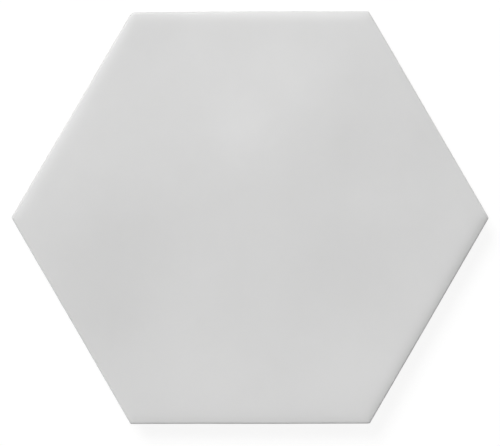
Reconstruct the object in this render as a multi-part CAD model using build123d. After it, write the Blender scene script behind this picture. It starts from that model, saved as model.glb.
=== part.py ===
from build123d import *
import os
from math import cos, exp, radians, sin, sqrt, tan

# Hexagon wall tile: one pressed clay body, glazed on its face and fired.
# It lies face up. The origin is the middle of its back, +Z points out of the glazed face,
# two corners lie on the X axis, and two straight edges face +Y and -Y.

# Driving dimensions, in millimetres and degrees
across_flats = 108.0     # between two opposite edges, at the widest part of the sides
thickness = 8.5          # from the bedding plane of the back to the crown of the face
side_draft = 2.0         # the sides lean in towards the back, so that the tile leaves its mould
corner_radius = 1.0      # rounding of the six upright corners at the back; the draft widens it upwards
arris_radius = 0.6       # rounding where the glaze rolls over from the face to the side
back_bevel = 0.5         # bevel all round the back

# The face falls away towards its edges in a shallow cushion
cushion_width = 4.2      # how far in from each edge the fall starts
cushion_drop = 0.32      # how far the face has fallen at the edge
cushion_power = 3.0      # how late the fall steepens: higher keeps the face flat for longer
corner_blend = 3.0       # how softly two cushions meet along a mitre: higher is sharper

# The key pattern pressed into the back: a flat border round parallel ribs, with grooves between
key_depth = 0.9          # depth of the grooves
groove_width = 5.2
rib_width = 2.8
border_width = 6.0       # flat land between the grooves and the edge of the back
groove_corner = 1.2      # rounding of a groove's corners, seen from behind
groove_draft = 25.0      # lean of the groove walls

# The face's hand-made look: swells and hollows, each a place (x, y), a reach and a height
face_swells = [
    (5.0, 19.0, 19.0, 0.38),
    (26.0, 38.0, 15.0, 0.16),
    (-48.0, 0.0, 20.0, 0.42),
    (-20.0, 54.0, 22.0, -0.22),
    (-30.0, -30.0, 17.0, -0.34),
    (-22.0, -11.0, 9.0, -0.10),
    (38.0, -26.0, 17.0, -0.24),
    (14.0, -6.0, 12.0, 0.18),
    (16.0, -62.0, 22.0, 0.30),
]

# How finely the face's formula is sampled
sheet_margin = 2.0       # the sheet reaches past the tile all round
sheet_step = 2.0         # distance between two samples, and between two sections

# Sizes that follow from the driving dimensions
edge_plane = thickness - cushion_drop - arris_radius
side_lean = tan(radians(side_draft))
back_apothem = across_flats / 2 - edge_plane * side_lean
highest_swell = sum(max(0.0, height) for x, y, reach, height in face_swells)


def cushion_fall(x, y):
    """How far the cushion has brought the face down at a point: six falls, blended at the mitres.

    Past the tile's edge, where the sheet is only there to be trimmed, a fall goes on as a straight slope.
    """
    blended = 0.0
    for side in range(6):
        heading = radians(90 + 60 * side)
        from_edge = across_flats / 2 - x * cos(heading) - y * sin(heading)
        depth = max(0.0, 1 - from_edge / cushion_width)
        past_edge = max(0.0, depth - 1)
        curved = (depth - past_edge) ** cushion_power
        blended += (cushion_drop * (curved + cushion_power * past_edge)) ** corner_blend
    return blended ** (1 / corner_blend)


def swell_height(x, y):
    """How far the swells and hollows lift the face at a point."""
    lift = 0.0
    for swell_x, swell_y, reach, height in face_swells:
        away = ((x - swell_x) ** 2 + (y - swell_y) ** 2) / reach**2
        lift += height * exp(-away)
    return lift


def evenly_spaced(half_length):
    """Sample places from one side of the sheet to the other."""
    steps = round(2 * half_length / sheet_step)
    return [half_length * (2 * i / steps - 1) for i in range(steps + 1)]


def face_sheet():
    """The glazed face as one spline surface, lofted through even sections, reaching past the tile's edges."""
    columns = evenly_spaced(across_flats / sqrt(3) + sheet_margin)
    rows = evenly_spaced(across_flats / 2 + sheet_margin)
    shares = [i / (len(columns) - 1) for i in range(len(columns))]
    sections = []
    for y in rows:
        samples = [Vector(x, y, thickness - cushion_fall(x, y) + swell_height(x, y)) for x in columns]
        sections.append(Wire([Edge.make_spline(samples, parameters=shares)]))
    return Shell.make_loft(sections).face()


def hexagon(apothem, rounding):
    """A hexagon with two corners on the X axis, and all six rounded."""
    outline = RegularPolygon(apothem, 6, major_radius=False)
    return fillet(outline.vertices(), rounding)


def blank():
    """The pressed block before its face is shaped, wider towards the face."""
    block = extrude(hexagon(back_apothem, corner_radius), thickness + highest_swell, taper=-side_draft)
    rim = block.faces().sort_by(Axis.Z)[0].outer_wire().edges()
    return chamfer(rim, back_bevel)


def key_grooves():
    """The grooves between the ribs, clipped by the border. A rib lies across the middle."""
    pitch = groove_width + rib_width
    inside = RegularPolygon(back_apothem - border_width, 6, major_radius=False)
    pairs = int((back_apothem - border_width + rib_width / 2) / pitch)
    grooves = Part()
    for i in range(-pairs, pairs):
        strip = Pos(0, (i + 0.5) * pitch) * Rectangle(2 * across_flats, groove_width)
        outline = strip & inside
        outline = fillet(outline.vertices(), groove_corner)
        grooves += extrude(outline, key_depth, taper=groove_draft)
    return grooves


def tile():
    """The blank, its face shaped and rolled over at the edge, and its back keyed."""
    below_face = extrude(face_sheet(), 2 * thickness, dir=(0, 0, -1))
    body = blank() & below_face
    glazed_face = body.faces().sort_by(Axis.Z)[-1]
    body = fillet(glazed_face.outer_wire().edges(), arris_radius)
    return body - key_grooves()


os.makedirs("parts", exist_ok=True)
hexagon_tile = tile()
export_step(hexagon_tile, "parts/hexagon_tile.step")
box = hexagon_tile.bounding_box()
print("size", round(box.size.X, 2), round(box.size.Y, 2), round(box.size.Z, 2))
print("volume", round(hexagon_tile.volume), "valid", hexagon_tile.is_valid)
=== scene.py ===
import math

import bmesh
import bpy
import numpy as np
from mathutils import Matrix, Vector

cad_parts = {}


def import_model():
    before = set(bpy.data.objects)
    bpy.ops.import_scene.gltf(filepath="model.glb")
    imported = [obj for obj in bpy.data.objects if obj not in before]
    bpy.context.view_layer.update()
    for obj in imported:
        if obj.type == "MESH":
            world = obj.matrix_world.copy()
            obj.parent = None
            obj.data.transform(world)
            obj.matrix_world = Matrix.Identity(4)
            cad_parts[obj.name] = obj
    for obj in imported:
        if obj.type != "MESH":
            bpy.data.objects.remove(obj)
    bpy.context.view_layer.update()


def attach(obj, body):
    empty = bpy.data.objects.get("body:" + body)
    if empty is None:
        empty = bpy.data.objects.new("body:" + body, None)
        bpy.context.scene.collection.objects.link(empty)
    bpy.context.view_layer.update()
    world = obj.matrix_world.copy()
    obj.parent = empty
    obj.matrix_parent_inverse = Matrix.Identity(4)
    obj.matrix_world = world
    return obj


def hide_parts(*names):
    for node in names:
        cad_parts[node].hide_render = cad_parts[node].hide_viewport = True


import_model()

mm = 0.001

# The hexagon: its sides, the turn in degrees from one side to the next, and half of that turn
sides = 6
side_turn = 60
half_turn = 30

# The fired tile's own sizes. It is a hair smaller than the solid, because its corners are crisper and have
# to stay inside the solid's box. Its arris is a little crisper too
across_flats = 107.78 * mm
thickness = 8.49 * mm
side_lean = math.tan(math.radians(2.0))
arris_radius = 0.53 * mm
back_bevel = 0.5 * mm
cushion_width = 4.2 * mm
cushion_drop = 0.32 * mm
cushion_power = 3.0
corner_blend = 4.0
edge_plane = thickness - cushion_drop - arris_radius
apothem = across_flats / 2

# The key pattern of the back. Its widths are at the back plane, and the grooves' cutter starts below it
key_depth = 0.9 * mm
groove_width = 5.2 * mm
rib_width = 2.8 * mm
border_width = 6.0 * mm
groove_corner = 1.2 * mm
groove_wall_lean = math.tan(math.radians(25.0))
groove_overcut = 0.5 * mm
groove_pitch = groove_width + rib_width
groove_border = apothem - edge_plane * side_lean - border_width

# The swells and hollows of the face: place x, y, reach and height, all in millimetres
face_swells = [
    (5.0, 19.0, 19.0, 0.38),
    (26.0, 38.0, 15.0, 0.16),
    (-48.0, 0.0, 20.0, 0.42),
    (-20.0, 54.0, 22.0, -0.22),
    (-30.0, -30.0, 17.0, -0.34),
    (-22.0, -11.0, 9.0, -0.10),
    (38.0, -26.0, 17.0, -0.24),
    (14.0, -6.0, 12.0, 0.18),
    (16.0, -62.0, 22.0, 0.30),
]

# Pools where the glaze is painted a little darker or lighter: place x, y and reach in millimetres, and how
# much its tone changes there, as a share. They are partly the glaze's own uneven tone and partly painted
# shade and light, which stand in for the shading that the face's swells would add under the key lamp
tone_and_painted_shade_pools = [
    (-38.0, -4.0, 15.0, -0.040),
    (-34.0, -27.0, 10.0, -0.032),
    (-26.0, 49.0, 10.0, -0.028),
    (8.0, 38.0, 12.0, 0.036),
    (-3.0, 23.0, 8.0, 0.036),
    (28.0, -41.0, 15.0, 0.046),
    (-10.0, -41.0, 13.0, 0.036),
    (22.0, -12.0, 13.0, -0.019),
    (26.0, 20.0, 8.0, -0.019),
    (46.0, 18.0, 8.0, -0.017),
    (45.0, -20.0, 9.0, 0.020),
]

# How far the firing has moved each corner, x and y in millimetres, anticlockwise from the corner on +X
corner_shifts = [(0.0, -0.12), (-0.31, 0.0), (0.19, -0.35), (0.03, 0.05), (-0.09, 0.09), (0.08, 0.21)]

# How much each corner is rounded, in millimetres, anticlockwise from the corner on +X
corner_radii = [0.4, 0.8, 1.8, 0.8, 0.5, 0.4]

# How far the middle of each side stands out past the line between its corners, in millimetres,
# anticlockwise from the side at 30 degrees
side_bows = [0.03, 0.05, 0.0, 0.0, 0.0, 0.05]

# The cushion's drop at the two ends of each side, as shares of its plain drop. The sides, and the ends of
# each, go anticlockwise from the side at 30 degrees
side_drops = [(1.0, 1.0), (1.6, 0.75), (0.8, 1.1), (0.9, 0.95), (0.9, 1.0), (1.75, 2.2)]

# The glaze on the side: how far down it reaches, how far its bead stands out, and how thick its lip is. The
# lip's end turns in, and slopes back to the clay over a height, both as shares of its thickness
glaze_reach = 1.7 * mm
glaze_bead = 0.05 * mm
glaze_lip = 0.10 * mm
lip_turned_in = 0.35
lip_height = 0.6

# The rings on the glazed side: how far down it each lies, and how much of the bead stands out there, both
# as shares
glazed_side_rings = [(0.35, 0.0), (0.65, 0.4), (0.8, 0.9), (0.92, 0.9)]

# What is uneven round the tile: how much, in how many waves round it, and the seed for the waves' draws
edge_wander = 0.035 * mm
edge_waves = (3, 5, 8, 13)
edge_seed = 4
glaze_reach_wander = 0.5 * mm
glaze_reach_waves = (2, 3, 7, 11, 17, 29)
glaze_reach_seed = 9
bevel_wear = 0.12 * mm
bevel_waves = (7, 19, 31, 53)
bevel_seed = 21

# How finely the mesh is divided. The cushion's rings crowd towards the edge by a power
side_steps = 56
corner_steps = 8
arris_steps = 9
cushion_rings = 14
cushion_crowding = 1.4
face_step = 1.3 * mm
clay_steps = 4
groove_corner_steps = 6
sharp_edge = math.radians(32)

# The numbers of the two materials in the tile's mesh
glaze_index = 0
clay_index = 1

# The glaze's look: its drift of colour, gloss and orange peel. Here and below, colours are linear, and the
# scale of a noise counts its waves in a metre
glaze_darkest = (0.614, 0.614, 0.611, 1)
glaze_lightest = (0.658, 0.658, 0.657, 1)
glaze_drift = {"Scale": 60.0, "Detail": 4.0, "Roughness": 0.6}
glaze_ior = 1.5
gloss_noise = {"Scale": 160.0, "Detail": 3.0, "Roughness": 0.6}
gloss_range = {"To_Min": 0.36, "To_Max": 0.44}
peel_noise = {"Scale": 300.0, "Detail": 1.0, "Roughness": 0.4}
peel_bump = {"Strength": 0.18, "Distance": 0.02 * mm}

# The bare clay's look: its clouds, darker grains and fine texture, and press marks drawn out up the sides
clay_darkest = (0.56, 0.50, 0.42, 1)
clay_lightest = (0.68, 0.63, 0.55, 1)
clay_clouds = {"Scale": 90.0, "Detail": 5.0, "Roughness": 0.6}
clay_roughness = 0.88
grain_colour = (0.40, 0.33, 0.25, 1)
grain_noise = {"Scale": 1500.0, "Detail": 3.0, "Roughness": 0.6}
grain_range = {"From_Min": 0.56, "From_Max": 0.72, "To_Max": 0.45}
texture_noise = {"Scale": 2600.0, "Detail": 4.0, "Roughness": 0.7}
texture_bump = {"Strength": 0.8, "Distance": 0.1 * mm}
mark_stretch = (1.0, 1.0, 0.08)
mark_noise = {"Scale": 900.0, "Detail": 3.0}
mark_range = {"To_Min": 0.88, "To_Max": 1.12}
mark_bump = {"Strength": 0.4, "Distance": 0.05 * mm}

# The view: straight down, the tile a little above the middle of the picture. Its sizes are in the picture's
# pixels, and the lens and the sensor in millimetres
picture_width = 500
tile_width_in_picture = 477.6
tile_above_middle = 5.4
tile_right_of_middle = 0.2
lens = 100.0
sensor = 36.0

# The studio's lamps: a key from the upper left of the picture, two weak fills, and one below for the back.
# Distance and size are in metres, directions in degrees and powers in watts
lamp_distance = 3.0
lamp_size = 1.2
lamps = {
    "key": {"azimuth": 122.0, "elevation": 50.0, "power": 85.4},
    "right_fill": {"azimuth": 40.0, "elevation": 50.0, "power": 10.5},
    "left_fill": {"azimuth": 210.0, "elevation": 50.0, "power": 8.5},
    "under": {"azimuth": 250.0, "elevation": -40.0, "power": 60.0},
}

# The studio's walls and ceiling: how strong they are as light, and as they show in the gloss, round about
# and above. Directions whose upward part is overhead_from or more count as above
white = (1, 1, 1, 1)
ambient_round = 0.42
ambient_above = 0.10
reflected_round = 1.0
reflected_above = 0.15
overhead_from = 0.8

# The floor: its reach in metres, how far it goes in under the tile, and its colour. It shows a share of the
# shadow, and light_on_floor is about how brightly the lamps light it, where 1 is white
floor_reach = 1.6
floor_overlap = 0.3 * mm
floor_colour = (0.8, 0.8, 0.8, 1)
floor_share_of_shadow = 0.12
light_on_floor = 0.9


def wander(position, waves, seed):
    """A smooth wave round the tile that closes on itself, mostly between -1 and 1."""
    random = np.random.default_rng(seed)
    total = np.zeros_like(position)
    for count in waves:
        phase = random.uniform(0, 2 * np.pi)
        strength = random.uniform(0.5, 1.0)
        total += np.sin(2 * np.pi * count * position + phase) * strength
    return total / math.sqrt(len(waves))


def bumps(x, y, places):
    """The sum of soft round bumps, each a place, a reach and a height."""
    total = np.zeros_like(x)
    for bump_x, bump_y, reach, height in places:
        away = ((x / mm - bump_x) ** 2 + (y / mm - bump_y) ** 2) / reach**2
        total += height * np.exp(-away)
    return total


def sharp_corners():
    """The outline's six corners before they are rounded, anticlockwise from the one on +X."""
    made = []
    reach = apothem / math.cos(math.radians(half_turn))
    for i, shift in enumerate(corner_shifts):
        towards = math.radians(side_turn * i)
        made.append(Vector((math.cos(towards), math.sin(towards))) * reach + Vector(shift) * mm)
    return made


def face_height(x, y):
    """The glazed face before its arris: the crown, the cushion's fall towards the edges, and the swells."""
    corners = sharp_corners()
    fall = np.zeros_like(x)
    # Each side's fall, in millimetres, is added as a power, which blends them where they meet at a corner
    for i, corner in enumerate(corners):
        side = corners[(i + 1) % sides] - corner
        along = side.normalized()
        from_edge = (corner.x - x) * along.y - (corner.y - y) * along.x
        nearness = np.maximum(0.0, 1 - from_edge / cushion_width)
        share = np.clip(((x - corner.x) * along.x + (y - corner.y) * along.y) / side.length, 0, 1)
        start_drop, end_drop = side_drops[i]
        drop = start_drop * (1 - share) + end_drop * share
        fall += (cushion_drop / mm * drop * nearness**cushion_power) ** corner_blend
    return thickness - mm * fall ** (1 / corner_blend) + mm * bumps(x, y, face_swells)


def rounded(corners, radii, steps):
    """The arcs of points that round the corners of a convex outline, which goes anticlockwise."""
    arcs = []
    for i, (corner, radius) in enumerate(zip(corners, radii)):
        before = (corners[i - 1] - corner).normalized()
        after = (corners[(i + 1) % len(corners)] - corner).normalized()
        half = before.angle(after) / 2
        centre = corner + (before + after).normalized() * radius / math.sin(half)
        start = math.atan2(before.x, -before.y)
        turn = math.pi - 2 * half
        arc = []
        for step in range(steps + 1):
            heading = start + turn * step / steps
            arc.append(centre + Vector((math.cos(heading), math.sin(heading))) * radius)
        arcs.append(arc)
    return arcs


def outline():
    """The tile's outline seen from above, anticlockwise, its sides divided and a little uneven."""
    arcs = rounded(sharp_corners(), [radius * mm for radius in corner_radii], corner_steps)
    points = []
    for i, arc in enumerate(arcs):
        side_start = arc[-1]
        side_end = arcs[(i + 1) % sides][0]
        outward = Vector((side_end.y - side_start.y, side_start.x - side_end.x)).normalized()
        points += arc
        for step in range(1, side_steps):
            share = step / side_steps
            # A parabola that reaches the whole bow half way along
            bow = side_bows[i] * mm * 4 * share * (1 - share)
            points.append(side_start.lerp(side_end, share) + outward * bow)
    points = np.array([tuple(point) for point in points])
    position = np.arange(len(points)) / len(points)
    pulled_in = edge_wander * (1 + wander(position, edge_waves, edge_seed)) / 2
    return points * (1 - pulled_in / apothem)[:, None]


def face_ring(edge, inset, drop=0.0):
    """A ring on the face at a distance in from the edge, and a drop below the face's height."""
    ring = edge * (1 - inset / apothem)
    return np.column_stack([ring, face_height(ring[:, 0], ring[:, 1]) - drop])


def side_ring(edge, level, inset):
    """A ring round the side at a height, leaning in towards the back, and set in from the surface."""
    in_by = inset + np.maximum(0.0, edge_plane - level) * side_lean
    return np.column_stack([edge * (1 - in_by / apothem)[:, None], level])


def glazed_rings(edge):
    """The rings from the middle of the face, over the arris and down the side to the end of the glaze."""
    made = []
    for inset in np.arange(apothem - face_step, cushion_width, -face_step):
        made.append(face_ring(edge, inset))
    for share in np.linspace(1, 0, cushion_rings) ** cushion_crowding:
        made.append(face_ring(edge, arris_radius + (cushion_width - arris_radius) * share))
    for step in range(1, arris_steps + 1):
        turn = math.radians(90) * step / arris_steps
        inset = arris_radius * (1 - math.sin(turn))
        made.append(face_ring(edge, inset, arris_radius * (1 - math.cos(turn))))
    arris_foot = made[-1][:, 2]
    position = np.arange(len(edge)) / len(edge)
    reach = glaze_reach + glaze_reach_wander * wander(position, glaze_reach_waves, glaze_reach_seed)
    for share, bulge in glazed_side_rings:
        made.append(side_ring(edge, arris_foot - reach * share, -glaze_bead * bulge))
    made.append(side_ring(edge, arris_foot - reach, glaze_lip * lip_turned_in))
    return made


def clay_rings(edge, glaze_end):
    """The rings from under the glaze's lip, down the bare side and round the worn bevel to the back."""
    made = []
    start = glaze_end - glaze_lip * lip_height
    position = np.arange(len(edge)) / len(edge)
    bevel_top = back_bevel + bevel_wear * wander(position, bevel_waves, bevel_seed)
    for step in range(clay_steps + 1):
        made.append(side_ring(edge, start + (bevel_top - start) * step / clay_steps, glaze_lip))
    made.append(side_ring(edge, np.zeros(len(edge)), back_bevel))
    return made


def tile_mesh(materials):
    """The fired tile as one closed mesh: the rings joined up, a pole on the face and one face behind."""
    edge = outline()
    glazed = glazed_rings(edge)
    made = glazed + clay_rings(edge, glazed[-1][:, 2])
    count = len(edge)
    pole = np.array([[0.0, 0.0, face_height(np.zeros(1), np.zeros(1))[0]]])
    points = np.concatenate([pole] + made)
    faces = [(0, 1 + i, 1 + (i + 1) % count) for i in range(count)]
    material_of = [glaze_index] * count
    for ring in range(len(made) - 1):
        here = 1 + ring * count
        below = here + count
        for i in range(count):
            after = (i + 1) % count
            faces.append((here + i, below + i, below + after, here + after))
            material_of.append(glaze_index if ring + 1 < len(glazed) else clay_index)
    last = 1 + (len(made) - 1) * count
    faces.append(tuple(last + i for i in reversed(range(count))))
    material_of.append(clay_index)
    mesh = bpy.data.meshes.new("hexagon_tile_fired")
    mesh.from_pydata(points.tolist(), [], faces)
    for material in materials:
        mesh.materials.append(material)
    mesh.polygons.foreach_set("material_index", material_of)
    mesh.update()
    return mesh


def groove_outline(row, level):
    """One groove of the back seen from above at a height, its ends cut by the border."""
    shrink = level * groove_wall_lean
    half_width = groove_width / 2 - shrink
    middle = (row + 0.5) * groove_pitch
    ends = []
    for y in (middle - half_width, middle + half_width):
        room = groove_border - shrink - abs(y) * math.sin(math.radians(half_turn))
        reach = room / math.cos(math.radians(half_turn))
        ends.append((Vector((-reach, y)), Vector((reach, y))))
    low, high = ends
    corners = [low[0], low[1], high[1], high[0]]
    arcs = rounded(corners, [groove_corner - shrink] * len(corners), groove_corner_steps)
    return [point for arc in arcs for point in arc]


def add_groove(bm, row):
    """One groove of the back as a closed block that reaches a little below the back plane."""
    low = [bm.verts.new((p.x, p.y, -groove_overcut)) for p in groove_outline(row, -groove_overcut)]
    high = [bm.verts.new((p.x, p.y, key_depth)) for p in groove_outline(row, key_depth)]
    bm.faces.new(list(reversed(low)))
    bm.faces.new(high)
    for i in range(len(low)):
        after = (i + 1) % len(low)
        bm.faces.new((low[i], low[after], high[after], high[i]))


def groove_cutter(materials):
    """All the grooves of the back, as one object to cut with."""
    on_each_half = int((groove_border + rib_width / 2) / groove_pitch)
    bm = bmesh.new()
    for row in range(-on_each_half, on_each_half):
        add_groove(bm, row)
    mesh = bpy.data.meshes.new("grooves")
    bm.to_mesh(mesh)
    bm.free()
    for material in materials:
        mesh.materials.append(material)
    mesh.polygons.foreach_set("material_index", [clay_index] * len(mesh.polygons))
    cutter = bpy.data.objects.new("grooves", mesh)
    bpy.context.collection.objects.link(cutter)
    return cutter


def cut_grooves(tile, cutter):
    """The grooves are cut out of the tile's mesh, and the cutter is removed."""
    cut = tile.modifiers.new("grooves", "BOOLEAN")
    cut.operation = "DIFFERENCE"
    cut.solver = "EXACT"
    cut.object = cutter
    bpy.context.view_layer.update()
    ready = tile.evaluated_get(bpy.context.evaluated_depsgraph_get())
    mesh = bpy.data.meshes.new_from_object(ready)
    tile.modifiers.clear()
    tile.data = mesh
    bpy.data.objects.remove(cutter)


def note_tone_and_painted_shade(mesh):
    """The glaze's tone at every point of the mesh, for its material to read: partly its own uneven tone,
    partly painted shade and light.
    """
    places = np.empty(len(mesh.vertices) * 3)
    mesh.vertices.foreach_get("co", places)
    places = places.reshape(-1, 3)
    tone = mesh.attributes.new("glaze_tone_and_painted_shade", "FLOAT", "POINT")
    tone.data.foreach_set("value", 1 + bumps(places[:, 0], places[:, 1], tone_and_painted_shade_pools))


class Nodes:
    """A short way to make the nodes of a material or a world, which loses the nodes that it has."""

    def __init__(self, owner):
        owner.use_nodes = True
        self.tree = owner.node_tree
        self.tree.nodes.clear()

    def join(self, value, socket):
        """Gives a socket its value, or links it to an output."""
        if isinstance(value, bpy.types.NodeSocket):
            self.tree.links.new(value, socket)
        else:
            socket.default_value = value

    def add(self, kind, settings=None, **inputs):
        """A new node. An input's name has _ for each space."""
        node = self.tree.nodes.new(kind)
        for name, value in (settings or {}).items():
            setattr(node, name, value)
        for name, value in inputs.items():
            self.join(value, node.inputs[name.replace("_", " ")])
        return node

    def noise(self, place, look):
        """Noise from 0 to 1 at every place."""
        return self.add("ShaderNodeTexNoise", Vector=place, **look).outputs["Fac"]

    def ranged(self, value, limits):
        """A value moved from one range to another."""
        return self.add("ShaderNodeMapRange", Value=value, **limits).outputs["Result"]

    def blend(self, share, first, second):
        """A colour that goes from the first to the second as the share goes from 0 to 1."""
        mix = self.add("ShaderNodeMix", {"data_type": "RGBA"}, Factor=share)
        self.join(first, mix.inputs["A"])
        self.join(second, mix.inputs["B"])
        return mix.outputs["Result"]

    def toned(self, colour, tone):
        """A colour made lighter or darker by a factor."""
        scale = self.add("ShaderNodeVectorMath", {"operation": "SCALE"}, Scale=tone)
        self.join(colour, scale.inputs[0])
        return scale.outputs["Vector"]

    def bump(self, height, look, **inputs):
        """A normal tilted by the slope of a height."""
        return self.add("ShaderNodeBump", Height=height, **look, **inputs).outputs["Normal"]

    def choose(self, share, first, second):
        """The first shader where the share is 0, and the second where it is 1."""
        mix = self.add("ShaderNodeMixShader")
        self.join(share, mix.inputs[0])
        self.join(first, mix.inputs[1])
        self.join(second, mix.inputs[2])
        return mix.outputs["Shader"]


def glaze():
    """White glaze with a soft gloss: pools of tone that are partly painted shade and light, a faint drift,
    a fine orange peel and uneven gloss.
    """
    material = bpy.data.materials.new("white_glaze")
    nodes = Nodes(material)
    place = nodes.add("ShaderNodeTexCoord").outputs["Object"]
    colour = nodes.blend(nodes.noise(place, glaze_drift), glaze_darkest, glaze_lightest)
    # The pools darken and lighten the colour: partly the glaze's own tone, partly painted shade and light
    # of the swells
    pools = nodes.add("ShaderNodeAttribute", {"attribute_name": "glaze_tone_and_painted_shade"}).outputs["Fac"]
    shader = nodes.add(
        "ShaderNodeBsdfPrincipled",
        Base_Color=nodes.toned(colour, pools),
        Roughness=nodes.ranged(nodes.noise(place, gloss_noise), gloss_range),
        Normal=nodes.bump(nodes.noise(place, peel_noise), peel_bump),
        IOR=glaze_ior,
    )
    nodes.add("ShaderNodeOutputMaterial", Surface=shader.outputs["BSDF"])
    return material


def fired_clay():
    """Bare fired clay: off-white and dry, with clouds, darker grains and press marks up the sides."""
    material = bpy.data.materials.new("fired_clay")
    nodes = Nodes(material)
    place = nodes.add("ShaderNodeTexCoord").outputs["Object"]
    body = nodes.blend(nodes.noise(place, clay_clouds), clay_darkest, clay_lightest)
    grains = nodes.ranged(nodes.noise(place, grain_noise), grain_range)
    grainy = nodes.blend(grains, body, grain_colour)
    stretched = nodes.add("ShaderNodeVectorMath", {"operation": "MULTIPLY"})
    nodes.join(place, stretched.inputs[0])
    nodes.join(mark_stretch, stretched.inputs[1])
    marks = nodes.noise(stretched.outputs["Vector"], mark_noise)
    texture = nodes.bump(nodes.noise(place, texture_noise), texture_bump)
    shader = nodes.add(
        "ShaderNodeBsdfPrincipled",
        Base_Color=nodes.toned(grainy, nodes.ranged(marks, mark_range)),
        Roughness=clay_roughness,
        Normal=nodes.bump(marks, mark_bump, Normal=texture),
    )
    nodes.add("ShaderNodeOutputMaterial", Surface=shader.outputs["BSDF"])
    return material


def build_tile():
    """The fired tile, which stands for the CAD's solid."""
    materials = [glaze(), fired_clay()]
    tile = bpy.data.objects.new("hexagon_tile_fired", tile_mesh(materials))
    bpy.context.collection.objects.link(tile)
    cut_grooves(tile, groove_cutter(materials))
    note_tone_and_painted_shade(tile.data)
    tile.data.shade_smooth()
    tile.data.set_sharp_from_angle(angle=sharp_edge)
    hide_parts("hexagon_tile")
    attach(tile, "root")


def floor_paint():
    """Pale grey to the light that it throws back. Seen or reflected it is white, with a faint shadow."""
    material = bpy.data.materials.new("floor")
    nodes = Nodes(material)
    path = nodes.add("ShaderNodeLightPath")
    seen = path.outputs["Is Camera Ray"]
    for ray in ("Is Glossy Ray", "Is Transmission Ray"):
        either = nodes.add("ShaderNodeMath", {"operation": "MAXIMUM"})
        nodes.join(seen, either.inputs[0])
        nodes.join(path.outputs[ray], either.inputs[1])
        seen = either.outputs["Value"]
    plain = nodes.add("ShaderNodeBsdfDiffuse", Color=floor_colour)
    share = floor_share_of_shadow
    shadowed = nodes.add("ShaderNodeBsdfDiffuse", Color=(share, share, share, 1))
    glow = nodes.add("ShaderNodeEmission", Color=white, Strength=1 - share * light_on_floor)
    shown = nodes.add("ShaderNodeAddShader")
    nodes.join(shadowed.outputs["BSDF"], shown.inputs[0])
    nodes.join(glow.outputs["Emission"], shown.inputs[1])
    surface = nodes.choose(seen, plain.outputs["BSDF"], shown.outputs["Shader"])
    nodes.add("ShaderNodeOutputMaterial", Surface=surface)
    return material


def floor():
    """A plain floor that keeps a soft shadow of the tile. Under the tile it is open, to show the back."""
    back_inset = edge_plane * side_lean + back_bevel + floor_overlap
    opening = [corner * (1 - back_inset / apothem) for corner in sharp_corners()]
    rim = [corner.normalized() * floor_reach for corner in opening]
    points = [(point.x, point.y, 0) for point in opening + rim]
    faces = [(sides + i, sides + (i + 1) % sides, (i + 1) % sides, i) for i in range(sides)]
    mesh = bpy.data.meshes.new("floor")
    mesh.from_pydata(points, [], faces)
    mesh.materials.append(floor_paint())
    ground = bpy.data.objects.new("floor", mesh)
    bpy.context.collection.objects.link(ground)


def sky(nodes, upward, round_about, above):
    """A background that changes from one strength near the horizon to another overhead."""
    strength = nodes.add(
        "ShaderNodeMapRange",
        {"interpolation_type": "SMOOTHSTEP"},
        Value=upward,
        From_Max=overhead_from,
        To_Min=round_about,
        To_Max=above,
    )
    background = nodes.add("ShaderNodeBackground", Color=white, Strength=strength.outputs["Result"])
    return background.outputs["Background"]


def world():
    """Soft light from all round, white walls in reflections, and white where a view goes past the floor."""
    studio = bpy.data.worlds.new("studio")
    bpy.context.scene.world = studio
    nodes = Nodes(studio)
    path = nodes.add("ShaderNodeLightPath")
    direction = nodes.add("ShaderNodeTexCoord").outputs["Generated"]
    upward = nodes.add("ShaderNodeSeparateXYZ", Vector=direction).outputs["Z"]
    plain = nodes.add("ShaderNodeBackground", Color=white, Strength=1.0).outputs["Background"]
    shown = sky(nodes, upward, ambient_round, ambient_above)
    for ray, background in (
        ("Is Glossy Ray", sky(nodes, upward, reflected_round, reflected_above)),
        ("Is Transmission Ray", plain),
        ("Is Camera Ray", plain),
    ):
        shown = nodes.choose(path.outputs[ray], shown, background)
    nodes.add("ShaderNodeOutputWorld", Surface=shown)


def lamp(name, azimuth, elevation, power):
    """One soft square lamp that points at the tile."""
    data = bpy.data.lights.new(name, "AREA")
    data.shape = "SQUARE"
    data.size = lamp_size
    data.energy = power
    made = bpy.data.objects.new(name, data)
    bpy.context.collection.objects.link(made)
    around = math.radians(azimuth)
    up = math.radians(elevation)
    direction = Vector((math.cos(around) * math.cos(up), math.sin(around) * math.cos(up), math.sin(up)))
    made.location = direction * lamp_distance
    made.rotation_euler = direction.to_track_quat("Z", "Y").to_euler()


def camera():
    """Straight down on the tile, at the photograph's size and place in the picture."""
    per_pixel = (across_flats / math.cos(math.radians(half_turn))) / tile_width_in_picture
    height = edge_plane + picture_width * per_pixel * lens / sensor
    data = bpy.data.cameras.new("camera")
    data.lens = lens
    data.sensor_width = sensor
    eye = bpy.data.objects.new("camera", data)
    bpy.context.collection.objects.link(eye)
    eye.location = (-tile_right_of_middle * per_pixel, -tile_above_middle * per_pixel, height)
    bpy.context.scene.camera = eye


build_tile()
floor()
world()
for lamp_name, setting in lamps.items():
    lamp(lamp_name, **setting)
camera()
bpy.context.scene.view_settings.view_transform = "Standard"
